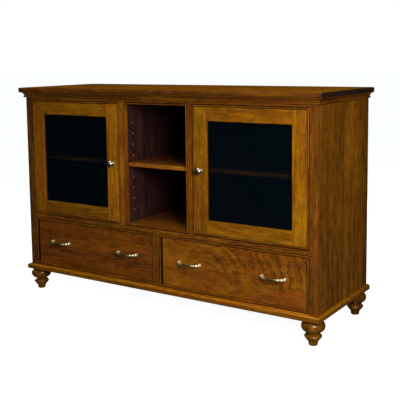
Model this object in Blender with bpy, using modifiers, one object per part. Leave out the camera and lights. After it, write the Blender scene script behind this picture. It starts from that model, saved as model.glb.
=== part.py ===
"""Media cabinet on four turned feet, in metres, +Z up.

X runs across the front, the front looks along -Y, and the origin is on the floor
under the middle of the whole object. Behind a face frame the cabinet has an open
cubby in the middle, a glazed door on each side of it and two drawers below. The
doors turn on concealed pins, and the drawers slide on a wooden runner.
"""
import math

import bmesh
import bpy
from mathutils import Matrix, Vector

# ---- Driving dimensions ----
TOP_WIDTH = 1.422
TOP_DEPTH = 0.483
HEIGHT = 0.889
TOP_THICKNESS = 0.018
OVERHANG = 0.024                # top board past the case, at the front and the sides
PANEL = 0.018                   # boards of the case
BACK_THICKNESS = 0.006
FRAME_THICKNESS = 0.019         # face frame, doors and drawer fronts
FIT = 0.0003                    # gap between pieces that touch

FOOT_HEIGHT = 0.092
BASE_THICKNESS = 0.021
FOOT_INSET_FRONT = 0.027        # foot centre from the case's front and side faces
FOOT_INSET_BACK = 0.048

STILE_WIDTH = 0.040             # outer stiles of the face frame
MIDDLE_STILE_INNER = 0.145      # from the centre line to the cubby
MIDDLE_STILE_OUTER = 0.183
DRAWER_STILE_WIDTH = 0.038
DRAWER_OPENING_Z = (0.125, 0.317)
DOOR_OPENING_Z = (0.351, 0.830)
CROWN_BOTTOM_Z = 0.847

SHELF_THICKNESS = 0.016
SHELF_TOP_Z = 0.596
SHELF_SETBACK = {"left": 0.045, "centre": 0.022, "right": 0.045}

DOOR_GAP = 0.002
DOOR_STILE = 0.0545
DOOR_RAIL = 0.051
GLASS_THICKNESS = 0.003
GLASS_GROOVE_DEPTH = 0.007
GLASS_SETBACK = 0.008           # glass face behind the door's face
PIN_RADIUS = 0.0025
PIN_FROM_EDGE = 0.010
PIN_FROM_FACE = 0.005
PIN_IN_DOOR = 0.015
PIN_IN_FRAME = 0.008
KNOB_Z = 0.590
KNOB_FROM_EDGE = 0.027
KNOB_RADIUS = 0.0145
KNOB_PROJECTION = 0.029

DRAWER_RECESS = 0.008
DRAWER_SIDE_GAP = 0.005
DRAWER_GAP_BELOW = 0.001
DRAWER_GAP_ABOVE = 0.003
DRAWER_WALL = 0.012
DRAWER_BOX_LENGTH = 0.390
DRAWER_BOX_Z = (0.140, 0.290)
DRAWER_BOX_CLEARANCE = 0.007    # box side to the opening's edge
DRAWER_FLOOR_Z = (0.146, 0.152)
RUNNER_WIDTH = 0.030
PULL_Z = 0.225
PULL_FROM_CENTRE = 0.181
PULL_SPACING = 0.093
PULL_PROJECTION = 0.030
PULL_BAR_RADIUS = 0.0042
PULL_BASE_RADIUS = 0.0070
PULL_BASE_THICKNESS = 0.004

# ---- Places worked out from them ----
KNOB_PROUD = KNOB_PROJECTION - OVERHANG
BACK_Y = (TOP_DEPTH + KNOB_PROUD) / 2
TOP_FRONT_Y = BACK_Y - TOP_DEPTH
FACE_Y = TOP_FRONT_Y + OVERHANG
FRAME_BACK_Y = FACE_Y + FRAME_THICKNESS
CASE_FRONT_Y = FRAME_BACK_Y + FIT
CASE_BACK_Y = BACK_Y - BACK_THICKNESS - FIT
CASE_X = TOP_WIDTH / 2 - OVERHANG
OPENING_X = CASE_X - STILE_WIDTH
INSIDE_X = CASE_X - PANEL
PARTITION_X = (MIDDLE_STILE_INNER + 0.003, MIDDLE_STILE_INNER + 0.003 + PANEL)
DRAWER_STILE_X = DRAWER_STILE_WIDTH / 2
BASE_TOP_Z = FOOT_HEIGHT + BASE_THICKNESS
CASE_BOTTOM_Z = BASE_TOP_Z + FIT
TOP_BOTTOM_Z = HEIGHT - TOP_THICKNESS
CASE_TOP_Z = TOP_BOTTOM_Z - FIT
DECK_TOP_Z = DOOR_OPENING_Z[0] - 0.0005
DECK_BOTTOM_Z = DECK_TOP_Z - PANEL

# ---- Mouldings: (height above the lower edge, how far it stands out) ----
CROWN_PROFILE = [(0, 0.0060), (0.0008, 0.0078), (0.0025, 0.0085), (0.0065, 0.0085),
                 (0.0082, 0.0078), (0.0090, 0.0060), (0.0105, 0.0060)]
COVE_STEPS = 5
for step in range(COVE_STEPS + 1):
    turn = math.radians(90) * step / COVE_STEPS
    CROWN_PROFILE.append((0.0110 + 0.0110 * math.sin(turn), 0.0070 + 0.0140 * (1 - math.cos(turn))))
CROWN_PROFILE.append((CASE_TOP_Z - CROWN_BOTTOM_Z, 0.0215))
BASE_PROFILE = [(0, 0.0088), (0.0012, 0.0118), (0.0030, 0.0134), (0.0050, 0.0140), (0.0145, 0.0140),
                (0.0170, 0.0134), (0.0188, 0.0118), (0.0200, 0.0088), (BASE_THICKNESS, 0.0040)]


def clear_scene():
    for thing in list(bpy.data.objects):
        bpy.data.objects.remove(thing, do_unlink=True)


def new_collection(name):
    made = bpy.data.collections.new(name)
    bpy.context.scene.collection.children.link(made)
    return made


clear_scene()
CABINET = new_collection("media_cabinet")
CUTTERS = new_collection("cutters")


def material(name, colour, roughness, metallic=0.0, alpha=1.0):
    made = bpy.data.materials.new(name)
    made.use_nodes = True
    shader = made.node_tree.nodes["Principled BSDF"]
    shader.inputs["Base Color"].default_value = (*colour, 1)
    shader.inputs["Roughness"].default_value = roughness
    shader.inputs["Metallic"].default_value = metallic
    shader.inputs["Alpha"].default_value = alpha
    made.diffuse_color = (*colour, alpha)
    return made


FINISHES = {
    "cherry": ((0.200, 0.072, 0.012), 0.35),
    "cherry_frame": ((0.150, 0.045, 0.010), 0.35),
    "cherry_door": ((0.260, 0.105, 0.012), 0.35),
    "cherry_dark": ((0.060, 0.018, 0.008), 0.30),
    "drawer_box": ((0.420, 0.290, 0.160), 0.60),
    "smoked_glass": ((0.010, 0.012, 0.014), 0.05),
    "satin_nickel": ((0.550, 0.520, 0.460), 0.28, 1.0),
}


def finish_piece(piece, finish):
    """Puts a piece in the cabinet's collection with a material of its own."""
    CABINET.objects.link(piece)
    piece.data.materials.append(material(piece.name, *FINISHES[finish]))
    return piece


def as_cutter(name, mesh):
    cutter = bpy.data.objects.new(name, mesh)
    CUTTERS.objects.link(cutter)
    cutter.hide_render = True
    cutter.display_type = "WIRE"
    return cutter


def box_mesh(name, low, high):
    low, high = Vector(low), Vector(high)
    frame = Matrix.Translation((low + high) / 2) @ Matrix.Diagonal((*(high - low), 1))
    mesh = bmesh.new()
    bmesh.ops.create_cube(mesh, size=1, matrix=frame)
    data = bpy.data.meshes.new(name)
    mesh.to_mesh(data)
    mesh.free()
    return data


def board(name, finish, low, high):
    return finish_piece(bpy.data.objects.new(name, box_mesh(name, low, high)), finish)


def upright_cylinder_mesh(name, radius, low_z, high_z, x, y, sides=24):
    place = Matrix.Translation((x, y, (low_z + high_z) / 2))
    mesh = bmesh.new()
    bmesh.ops.create_cone(mesh, cap_ends=True, segments=sides, radius1=radius, radius2=radius,
                          depth=high_z - low_z, matrix=place)
    data = bpy.data.meshes.new(name)
    mesh.to_mesh(data)
    mesh.free()
    data.shade_smooth()
    data.set_sharp_from_angle(angle=math.radians(40))
    return data


def boolean(piece, other, operation):
    step = piece.modifiers.new(other.name, "BOOLEAN")
    step.operation = operation
    step.solver = "EXACT"
    step.object = other


def turned(name, finish, profile, place, sides=32):
    """A piece turned on a lathe: the profile holds (radius, height) from its top to its bottom."""
    outline = bmesh.new()
    corners = [outline.verts.new((radius, 0, height)) for radius, height in profile]
    for first, second in zip(corners, corners[1:]):
        outline.edges.new((first, second))
    data = bpy.data.meshes.new(name)
    outline.to_mesh(data)
    outline.free()
    piece = finish_piece(bpy.data.objects.new(name, data), finish)
    piece.matrix_world = place
    screw = piece.modifiers.new("lathe", "SCREW")
    screw.axis = "Z"
    screw.steps = screw.render_steps = sides
    screw.use_merge_vertices = True
    screw.merge_threshold = 0.00002
    return piece


def moulded_board(name, finish, low, high, profile, sides, mitred_from=None):
    """A board sliced level at the profile's heights, with each slice pushed out by the profile.

    sides holds the outward sides as (axis, sign). Where mitred_from names one of them,
    only its corners are pushed, so that the ends slope at 45 degrees to meet the next length.
    """
    data = box_mesh(name, low, high)
    mesh = bmesh.new()
    mesh.from_mesh(data)
    for height, _ in profile[1:-1]:
        everything = mesh.verts[:] + mesh.edges[:] + mesh.faces[:]
        level = (0, 0, low[2] + height)
        bmesh.ops.bisect_plane(mesh, geom=everything, plane_co=level, plane_no=(0, 0, 1))
    edge = {(axis, sign): (high if sign > 0 else low)[axis] for axis, sign in sides}
    for corner in mesh.verts:
        start = corner.co.copy()
        out = min(profile, key=lambda point: abs(low[2] + point[0] - start.z))[1]
        on = [side for side in sides if abs(start[side[0]] - edge[side]) < 1e-5]
        if mitred_from and mitred_from not in on:
            continue
        for axis, sign in on:
            corner.co[axis] += sign * out
    mesh.to_mesh(data)
    mesh.free()
    return finish_piece(bpy.data.objects.new(name, data), finish)


def axis_empty(name, place):
    """An empty on a joint's axis, which carries the pieces that move with it."""
    empty = bpy.data.objects.new(name, None)
    CABINET.objects.link(empty)
    empty.empty_display_size = 0.05
    empty.location = place
    return empty


def carry(empty, pieces):
    away = Matrix.Translation(-empty.location)
    for piece in pieces:
        piece.parent = empty
        piece.matrix_parent_inverse = away


# ---- Case ----
def make_top():
    half = TOP_WIDTH / 2
    top = board("top_panel", "cherry", (-half, TOP_FRONT_Y, TOP_BOTTOM_Z), (half, BACK_Y, HEIGHT))
    edge = top.modifiers.new("eased_edges", "BEVEL")
    edge.width = 0.003
    edge.segments = 2


def make_crown():
    """The cove moulding under the top, in three lengths that meet in mitres."""
    top = CASE_TOP_Z
    moulded_board("crown_front", "cherry_frame",
                  (-CASE_X, FACE_Y - FIT - 0.001, CROWN_BOTTOM_Z), (CASE_X, FACE_Y - FIT, top),
                  CROWN_PROFILE, [(1, -1), (0, -1), (0, 1)], mitred_from=(1, -1))
    for sign, name in ((-1, "crown_left"), (1, "crown_right")):
        inner = CASE_X + FIT
        across = sorted((sign * inner, sign * (inner + 0.001)))
        moulded_board(name, "cherry_frame",
                      (across[0], FACE_Y + 2 * FIT, CROWN_BOTTOM_Z), (across[1], BACK_Y, top),
                      CROWN_PROFILE, [(0, sign), (1, -1)], mitred_from=(0, sign))


def make_case():
    for sign, name in ((-1, "side_left"), (1, "side_right")):
        across = sorted((sign * INSIDE_X, sign * CASE_X))
        board(name, "cherry", (across[0], CASE_FRONT_Y, CASE_BOTTOM_Z), (across[1], BACK_Y, CASE_TOP_Z))
    for sign, name in ((-1, "partition_left"), (1, "partition_right")):
        across = sorted((sign * PARTITION_X[0], sign * PARTITION_X[1]))
        board(name, "cherry_frame", (across[0], CASE_FRONT_Y, DECK_TOP_Z + FIT),
              (across[1], CASE_BACK_Y, CASE_TOP_Z))
    inside = INSIDE_X - FIT
    board("mid_deck", "cherry_frame", (-inside, CASE_FRONT_Y, DECK_BOTTOM_Z),
          (inside, CASE_BACK_Y, DECK_TOP_Z))
    board("drawer_partition", "cherry_frame", (-PANEL / 2, CASE_FRONT_Y, CASE_BOTTOM_Z),
          (PANEL / 2, CASE_BACK_Y, DECK_BOTTOM_Z - FIT))
    board("back_panel", "cherry_dark", (-inside, BACK_Y - BACK_THICKNESS, CASE_BOTTOM_Z),
          (inside, BACK_Y, CASE_TOP_Z))
    moulded_board("base_board", "cherry", (-CASE_X, FACE_Y, FOOT_HEIGHT), (CASE_X, BACK_Y, BASE_TOP_Z),
                  BASE_PROFILE, [(0, -1), (0, 1), (1, -1)])


def make_face_frame():
    """Stiles run full height, rails run between the outer stiles, and short stiles between the rails."""
    def member(name, low_x, high_x, low_z, high_z):
        return board(name, "cherry_frame", (low_x, FACE_Y, low_z), (high_x, FRAME_BACK_Y, high_z))

    member("stile_left", -CASE_X, -OPENING_X, CASE_BOTTOM_Z, CASE_TOP_Z)
    member("stile_right", OPENING_X, CASE_X, CASE_BOTTOM_Z, CASE_TOP_Z)
    reach = OPENING_X - FIT
    rails = [member("rail_top", -reach, reach, DOOR_OPENING_Z[1], CASE_TOP_Z),
             member("rail_middle", -reach, reach, DRAWER_OPENING_Z[1], DOOR_OPENING_Z[0])]
    member("rail_bottom", -reach, reach, CASE_BOTTOM_Z, DRAWER_OPENING_Z[0])
    low_z, high_z = DOOR_OPENING_Z[0] + FIT, DOOR_OPENING_Z[1] - FIT
    member("stile_upper_left", -MIDDLE_STILE_OUTER, -MIDDLE_STILE_INNER, low_z, high_z)
    member("stile_upper_right", MIDDLE_STILE_INNER, MIDDLE_STILE_OUTER, low_z, high_z)
    low_z, high_z = DRAWER_OPENING_Z[0] + FIT, DRAWER_OPENING_Z[1] - FIT
    member("stile_drawer", -DRAWER_STILE_X, DRAWER_STILE_X, low_z, high_z)
    return rails


def make_feet():
    """Turned feet: a flattened ball, a neck, a lobe like two cones base to base, and a tapered toe."""
    ball_z, ball_half, ball_core, ball_round = 0.0705, 0.0215, 0.0200, 0.0225
    profile = [(0, FOOT_HEIGHT - FIT)]
    ball_steps = 10
    for step in range(ball_steps + 1):
        turn = math.radians(80 - 160 * step / ball_steps)
        profile.append((ball_core + ball_round * math.cos(turn), ball_z + ball_half * math.sin(turn)))
    profile[1] = (profile[1][0], FOOT_HEIGHT - FIT)
    neck = [(0.0200, 0.0482), (0.0196, 0.0470), (0.0200, 0.0458)]
    lobe = [(0.0260, 0.0412), (0.0304, 0.0370), (0.0318, 0.0344), (0.0310, 0.0318), (0.0222, 0.0200),
            (0.0208, 0.0182)]
    toe = [(0.0180, 0.0176), (0.0178, 0.0160), (0.0158, 0.0030), (0.0144, 0.0008), (0.0120, 0), (0, 0)]
    profile += neck + lobe + toe
    across = CASE_X - FOOT_INSET_FRONT
    along = {"front": FACE_Y + FOOT_INSET_FRONT, "back": BACK_Y - FOOT_INSET_BACK}
    for end, y in along.items():
        for side, sign in (("left", -1), ("right", 1)):
            turned(f"foot_{end}_{side}", "cherry_dark", profile, Matrix.Translation((sign * across, y, 0)))


def make_shelves():
    spans = {"left": (-INSIDE_X, -PARTITION_X[1]), "centre": (-PARTITION_X[0], PARTITION_X[0]),
             "right": (PARTITION_X[1], INSIDE_X)}
    for side, (low_x, high_x) in spans.items():
        board(f"shelf_{side}", "cherry_frame",
              (low_x + 2 * FIT, FACE_Y + SHELF_SETBACK[side], SHELF_TOP_Z - SHELF_THICKNESS),
              (high_x - 2 * FIT, CASE_BACK_Y - 0.002, SHELF_TOP_Z))


# ---- Doors ----
def make_knob(name, x, z):
    tip, ball_z, ball_half = KNOB_PROJECTION, 0.0205, 0.0085
    profile = [(0, tip)]
    head_steps = 7
    for step in range(1, head_steps + 1):
        turn = math.radians(90 - 140 * step / head_steps)
        profile.append((KNOB_RADIUS * math.cos(turn), ball_z + ball_half * math.sin(turn)))
    profile += [(0.0055, 0.0120), (0.0050, 0.0060), (0.0085, 0.0035), (0.0095, 0.0015), (0.0095, FIT),
                (0, FIT)]
    place = Matrix.Translation((x, FACE_Y, z)) @ Matrix.Rotation(math.radians(90), 4, "X")
    return turned(name, "satin_nickel", profile, place, sides=24)


def make_door(side, sign, rails):
    """One inset door. sign is -1 for the left door; its hinge pins are on the outer side."""
    outer, inner = OPENING_X - DOOR_GAP, MIDDLE_STILE_OUTER + DOOR_GAP
    low_z, high_z = DOOR_OPENING_Z[0] + DOOR_GAP, DOOR_OPENING_Z[1] - DOOR_GAP

    def member(part, x_from, x_to, z_from, z_to):
        across = sorted((sign * x_from, sign * x_to))
        return board(f"door_{side}_{part}", "cherry_door", (across[0], FACE_Y, z_from),
                     (across[1], FRAME_BACK_Y, z_to))

    hinge_stile = member("hinge_stile", outer - DOOR_STILE, outer, low_z, high_z)
    latch_stile = member("latch_stile", inner, inner + DOOR_STILE, low_z, high_z)
    rail_from, rail_to = inner + DOOR_STILE + FIT, outer - DOOR_STILE - FIT
    top_rail = member("top_rail", rail_from, rail_to, high_z - DOOR_RAIL, high_z)
    bottom_rail = member("bottom_rail", rail_from, rail_to, low_z, low_z + DOOR_RAIL)

    reach = GLASS_GROOVE_DEPTH
    glass_x = sorted((sign * (rail_from - reach), sign * (rail_to + reach)))
    glass_y = FACE_Y + GLASS_SETBACK
    low = Vector((glass_x[0], glass_y, low_z + DOOR_RAIL - reach))
    high = Vector((glass_x[1], glass_y + GLASS_THICKNESS, high_z - DOOR_RAIL + reach))
    glass = board(f"door_{side}_glass", "smoked_glass", low, high)
    margin = Vector((FIT, FIT, FIT))
    groove_name = f"glass_groove_{side}"
    groove = as_cutter(groove_name, box_mesh(groove_name, low - margin, high + margin))
    for piece in (hinge_stile, latch_stile, top_rail, bottom_rail):
        boolean(piece, groove, "DIFFERENCE")

    pin_x, pin_y = sign * (outer - PIN_FROM_EDGE), FACE_Y + PIN_FROM_FACE
    pins = []
    for end, edge_z, rail, away in (("top", high_z, rails[0], 1), ("bottom", low_z, rails[1], -1)):
        reach = DOOR_GAP + PIN_IN_FRAME
        ends = sorted((edge_z - away * PIN_IN_DOOR, edge_z + away * reach))
        name = f"hinge_pin_{side}_{end}"
        pin = bpy.data.objects.new(name, upright_cylinder_mesh(name, PIN_RADIUS, *ends, pin_x, pin_y))
        pins.append(finish_piece(pin, "satin_nickel"))
        hole = f"pin_hole_{side}_{end}"
        cutter = as_cutter(hole, upright_cylinder_mesh(hole, PIN_RADIUS + FIT, ends[0] - FIT, ends[1] + FIT,
                                                       pin_x, pin_y))
        boolean(hinge_stile, cutter, "DIFFERENCE")
        boolean(rail, cutter, "DIFFERENCE")

    knob = make_knob(f"door_{side}_knob", sign * (inner + KNOB_FROM_EDGE), KNOB_Z)
    axis = axis_empty(f"door_{side}_axis", (pin_x, pin_y, (low_z + high_z) / 2))
    carry(axis, [hinge_stile, latch_stile, top_rail, bottom_rail, glass, knob, *pins])


# ---- Drawers ----
def make_pull(name, x, front_y, z):
    """A bow pull: a round bar bent out from two bases, in one piece."""
    half = PULL_SPACING / 2
    bar_steps = 12
    bow_depth = PULL_PROJECTION - PULL_BAR_RADIUS
    route = []
    for step in range(bar_steps + 1):
        along = math.cos(math.pi * step / bar_steps)
        out = bow_depth * (1 - abs(along) ** 2.6) ** 0.55
        route.append((x - half * along, front_y - max(out, PULL_BASE_THICKNESS / 2), z))
    curve = bpy.data.curves.new(name, "CURVE")
    curve.dimensions = "3D"
    curve.bevel_depth = PULL_BAR_RADIUS
    curve.bevel_resolution = 2
    curve.use_fill_caps = True
    spline = curve.splines.new("POLY")
    spline.points.add(len(route) - 1)
    for point, place in zip(spline.points, route):
        point.co = (*place, 1)
    bar = bpy.data.objects.new(name + "_bar", curve)
    CABINET.objects.link(bar)
    bpy.context.view_layer.update()
    mesh = bpy.data.meshes.new_from_object(bar.evaluated_get(bpy.context.evaluated_depsgraph_get()))
    place = bar.matrix_world.copy()
    bpy.data.objects.remove(bar, do_unlink=True)
    tube = bmesh.new()
    tube.from_mesh(mesh)
    bmesh.ops.remove_doubles(tube, verts=tube.verts, dist=0.00001)
    tube.to_mesh(mesh)
    tube.free()
    pull = finish_piece(bpy.data.objects.new(name, mesh), "satin_nickel")
    pull.matrix_world = place
    for end, sign in (("left", -1), ("right", 1)):
        base = bmesh.new()
        middle = (x + sign * half, front_y - FIT - PULL_BASE_THICKNESS / 2, z)
        facing = Matrix.Translation(middle) @ Matrix.Rotation(math.radians(90), 4, "X")
        bmesh.ops.create_cone(base, cap_ends=True, segments=20, radius1=PULL_BASE_RADIUS,
                              radius2=PULL_BASE_RADIUS, depth=PULL_BASE_THICKNESS, matrix=facing)
        data = bpy.data.meshes.new(f"{name}_base_{end}")
        base.to_mesh(data)
        base.free()
        boolean(pull, as_cutter(data.name, data), "UNION")
    return pull


def make_drawer(side, sign):
    opening = (DRAWER_STILE_X, OPENING_X)
    front_y = FACE_Y + DRAWER_RECESS
    box_front_y = front_y + FRAME_THICKNESS + FIT
    box_back_y = box_front_y + DRAWER_BOX_LENGTH
    wall = DRAWER_WALL

    def piece(part, finish, x_from, x_to, y, z):
        across = sorted((sign * x_from, sign * x_to))
        name = f"drawer_{side}_{part}"
        return board(name, finish, (across[0], y[0], z[0]), (across[1], y[1], z[1]))

    front = piece("front", "cherry", opening[0] + DRAWER_SIDE_GAP, opening[1] - DRAWER_SIDE_GAP,
                  (front_y, front_y + FRAME_THICKNESS),
                  (DRAWER_OPENING_Z[0] + DRAWER_GAP_BELOW, DRAWER_OPENING_Z[1] - DRAWER_GAP_ABOVE))
    near, far = opening[0] + DRAWER_BOX_CLEARANCE, opening[1] - DRAWER_BOX_CLEARANCE
    sides = [piece("inner_side", "drawer_box", near, near + wall, (box_front_y, box_back_y), DRAWER_BOX_Z),
             piece("outer_side", "drawer_box", far - wall, far, (box_front_y, box_back_y), DRAWER_BOX_Z)]
    back = piece("back", "drawer_box", near + wall + FIT, far - wall - FIT, (box_back_y - wall, box_back_y),
                 (DRAWER_FLOOR_Z[1] + FIT, DRAWER_BOX_Z[1]))
    groove = wall / 2
    floor = piece("bottom", "drawer_box", near + groove, far - groove, (box_front_y + FIT, box_back_y - FIT),
                  DRAWER_FLOOR_Z)
    margin = Vector((FIT, 0.001, FIT))
    across = sorted((sign * (near + groove), sign * (far - groove)))
    low = Vector((across[0], box_front_y, DRAWER_FLOOR_Z[0])) - margin
    high = Vector((across[1], box_back_y, DRAWER_FLOOR_Z[1])) + margin
    cutter = as_cutter(f"drawer_groove_{side}", box_mesh(f"drawer_groove_{side}", low, high))
    for wall_piece in sides:
        boolean(wall_piece, cutter, "DIFFERENCE")

    centre = sign * (opening[0] + opening[1]) / 2
    pulls = [make_pull(f"drawer_{side}_pull_{end}", centre + offset, front_y, PULL_Z)
             for end, offset in (("left", -PULL_FROM_CENTRE), ("right", PULL_FROM_CENTRE))]
    half = RUNNER_WIDTH / 2
    board(f"drawer_runner_{side}", "drawer_box", (centre - half, box_front_y + 0.002, CASE_BOTTOM_Z),
          (centre + half, CASE_BACK_Y, DRAWER_FLOOR_Z[0] - FIT))
    axis = axis_empty(f"drawer_{side}_axis", (centre, front_y, PULL_Z))
    carry(axis, [front, *sides, back, floor, *pulls])


make_top()
make_crown()
make_case()
RAILS = make_face_frame()
make_feet()
make_shelves()
make_door("left", -1, RAILS)
make_door("right", 1, RAILS)
make_drawer("left", -1)
make_drawer("right", 1)
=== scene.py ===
"""The looks of a media cabinet: mouldings, turned feet, hardware and finishes round the CAD frame."""
import math

import bmesh
import bpy
from mathutils import Matrix, Vector


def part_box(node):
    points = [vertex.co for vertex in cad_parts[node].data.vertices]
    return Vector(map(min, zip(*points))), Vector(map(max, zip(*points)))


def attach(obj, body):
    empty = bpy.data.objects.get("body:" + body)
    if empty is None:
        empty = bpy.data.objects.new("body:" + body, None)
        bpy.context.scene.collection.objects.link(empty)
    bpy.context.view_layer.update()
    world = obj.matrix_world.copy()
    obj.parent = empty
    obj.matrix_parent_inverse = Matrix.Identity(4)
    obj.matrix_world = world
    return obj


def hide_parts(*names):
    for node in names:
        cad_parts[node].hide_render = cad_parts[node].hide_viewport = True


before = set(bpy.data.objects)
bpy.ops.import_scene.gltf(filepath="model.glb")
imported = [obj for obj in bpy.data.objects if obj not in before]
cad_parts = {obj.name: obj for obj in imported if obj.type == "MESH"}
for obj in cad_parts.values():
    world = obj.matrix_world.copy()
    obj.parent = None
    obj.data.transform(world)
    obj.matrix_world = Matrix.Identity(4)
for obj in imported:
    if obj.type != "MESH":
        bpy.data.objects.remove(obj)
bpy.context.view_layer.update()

MM = 0.001
CLOSE_UP = 0.12 * MM            # boards grow by this, which leaves a hairline of the gaps at glued joints

# ---- Places read from the frame ----
TOP_LOW, TOP_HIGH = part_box("top_panel")
FRAME_LOW, FRAME_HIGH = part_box("stile_left")
FACE_Y, FRAME_BACK_Y = FRAME_LOW.y, FRAME_HIGH.y
CASE_X = -FRAME_LOW.x
OPENING_X = -FRAME_HIGH.x
BACK_Y = TOP_HIGH.y
BASE_LOW, BASE_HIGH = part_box("base_board")
RAIL_BOTTOM_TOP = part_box("rail_bottom")[1].z
MIDDLE_LOW_Z, MIDDLE_HIGH_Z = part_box("rail_middle")[0].z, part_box("rail_middle")[1].z
RAIL_TOP_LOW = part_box("rail_top")[0].z
CUBBY_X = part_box("stile_upper_right")[0].x
DOOR_SIDE_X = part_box("stile_upper_right")[1].x
DRAWER_STILE_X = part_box("stile_drawer")[1].x
CROWN_LOW_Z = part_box("crown_front")[0].z

# ---- Driving sizes of the details ----
BEAD_DIAMETER = 5.6 * MM
QUIRK_WIDTH = 3.4 * MM
QUIRK_DEPTH = 4.5 * MM
BEAD_WIDTH = BEAD_DIAMETER + QUIRK_WIDTH
PULL_BALL_RADIUS = 7.0 * MM
PULL_LOW, PULL_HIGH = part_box("drawer_left_pull_left")
PULL_HALF_SPACING = (PULL_HIGH.x - PULL_LOW.x) / 2 - PULL_BALL_RADIUS

WORLD_IN_REFLECTIONS = 0.006
WORLD_FILL = (0.055, 0.105, 0.190)
CAMERA_PLACE = Vector((1.7722, -2.5778, 1.0131))
CAMERA_YAW, CAMERA_PITCH, CAMERA_ROLL = math.radians(33.45), math.radians(-6.50), math.radians(-0.72)
CAMERA_LENS, CAMERA_SHIFT_Y = 69.19, -0.14


# ---- Materials ----
class Nodes:
    """A material's node tree, with short calls for adding and linking nodes."""

    def __init__(self, name):
        self.material = bpy.data.materials.new(name)
        self.material.use_nodes = True
        self.tree = self.material.node_tree
        self.shader = self.tree.nodes["Principled BSDF"]

    def add(self, kind, inputs=(), **settings):
        node = self.tree.nodes.new("ShaderNode" + kind)
        for key, value in settings.items():
            setattr(node, key, value)
        for key, value in dict(inputs).items():
            self.feed(node, key, value)
        return node

    def feed(self, node, key, value):
        if isinstance(value, bpy.types.NodeSocket):
            self.tree.links.new(value, node.inputs[key])
        elif value is not None:
            node.inputs[key].default_value = value

    def math(self, operation, a, b=None, c=None, clamp=False):
        inputs = {0: a, 1: b, 2: c}
        return self.add("Math", inputs, operation=operation, use_clamp=clamp).outputs[0]

    def distance(self, a, b):
        return self.math("SQRT", self.math("ADD", self.math("MULTIPLY", a, a), self.math("MULTIPLY", b, b)))

    def noise(self, vector, scale, detail=3.0, roughness=0.55, distortion=0.0):
        inputs = {"Vector": vector, "Scale": scale, "Detail": detail, "Roughness": roughness,
                  "Distortion": distortion}
        return self.add("TexNoise", inputs).outputs["Fac"]

    def stretch(self, vector, x, y, z):
        return self.add("VectorMath", {0: vector, 1: (x, y, z)}, operation="MULTIPLY").outputs[0]

    def remap(self, value, low, high, to_low, to_high):
        inputs = {"Value": value, "From Min": low, "From Max": high, "To Min": to_low, "To Max": to_high}
        return self.add("MapRange", inputs).outputs[0]

    def blend(self, share, first, second, mode="MIX"):
        node = self.add("Mix", data_type="RGBA", blend_type=mode)
        for key, value in ((0, share), (6, first), (7, second)):
            if isinstance(value, tuple):
                value = (*value, 1)
            self.feed(node, key, value)
        return node.outputs[2]

    def set(self, **values):
        for key, value in values.items():
            self.feed(self.shader, key.replace("_", " "), value)


TONES = {   # light wood, dark wood, red stain
    "case": ((0.215, 0.080, 0.0012), (0.090, 0.028, 0.0010), (0.165, 0.048, 0.0020)),
    "top": ((0.330, 0.115, 0.0006), (0.130, 0.042, 0.0006), (0.250, 0.080, 0.0008)),
    "frame": ((0.235, 0.083, 0.0014), (0.100, 0.028, 0.0012), (0.175, 0.045, 0.0022)),
    "door": ((0.340, 0.140, 0.0008), (0.175, 0.056, 0.0008), (0.275, 0.084, 0.0010)),
    "drawer": ((0.275, 0.091, 0.0008), (0.100, 0.025, 0.0010), (0.220, 0.055, 0.0014)),
    "turned": ((0.230, 0.090, 0.0016), (0.090, 0.028, 0.0014), (0.160, 0.050, 0.0020)),
    "shelf": ((0.190, 0.070, 0.0030), (0.090, 0.028, 0.0020), (0.140, 0.042, 0.0030)),
    # inside: a darker interior stain, partly painted shade for the unlit compartments, with blue raised for
    # their cool shadows
    "inside": ((0.058, 0.022, 0.0160), (0.030, 0.010, 0.0090), (0.050, 0.016, 0.0130)),
    # back: near-black teal, painted shade for the unlit back of the compartments
    "back": ((0.0006, 0.0070, 0.0120), (0.0003, 0.0040, 0.0070), (0.0008, 0.0060, 0.0100)),
    "end_grain": ((0.026, 0.013, 0.0075), (0.010, 0.0055, 0.0045), (0.020, 0.010, 0.006)),
    "back_outside": ((0.150, 0.062, 0.0180), (0.070, 0.026, 0.0090), (0.115, 0.042, 0.0120)),
    "maple": ((0.560, 0.370, 0.150), (0.440, 0.265, 0.095), (0.520, 0.320, 0.125)),
}


def feathers(n, along, across, through):
    """Where the dark feathers of crotch grain lie: ragged arcs in the upper half of the board."""
    point = n.add("CombineXYZ", {0: along, 1: across, 2: through}).outputs[0]
    radius = n.distance(n.math("ADD", along, 0.115), n.math("ADD", across, 0.050))
    ragged = n.noise(n.stretch(point, 13.0, 20.0, 20.0), 1.0, detail=4.0, roughness=0.6)
    wide_phase = n.math("MULTIPLY_ADD", radius, 2 * math.pi * 27, n.math("MULTIPLY", ragged, 15.0))
    fine_phase = n.math("MULTIPLY_ADD", radius, 2 * math.pi * 66, n.math("MULTIPLY", ragged, 26.0))
    wide = n.math("SINE", wide_phase)
    fine = n.math("SINE", fine_phase)
    bands = n.math("MULTIPLY_ADD", wide, 0.30, n.math("MULTIPLY_ADD", fine, 0.22, 0.5))
    edge = n.math("MULTIPLY_ADD", n.noise(n.stretch(point, 7.0, 7.0, 7.0), 1.0), 0.22, -0.105)
    upper = n.remap(n.math("ADD", across, edge), -0.030, 0.020, 0.0, 1.0)
    beyond_left = n.remap(n.math("ADD", along, edge), -0.20, -0.08, 0.0, 1.0)
    strength = n.math("MULTIPLY", upper, beyond_left)
    return n.math("MULTIPLY", n.math("POWER", bands, 1.5, clamp=True), strength)


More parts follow.
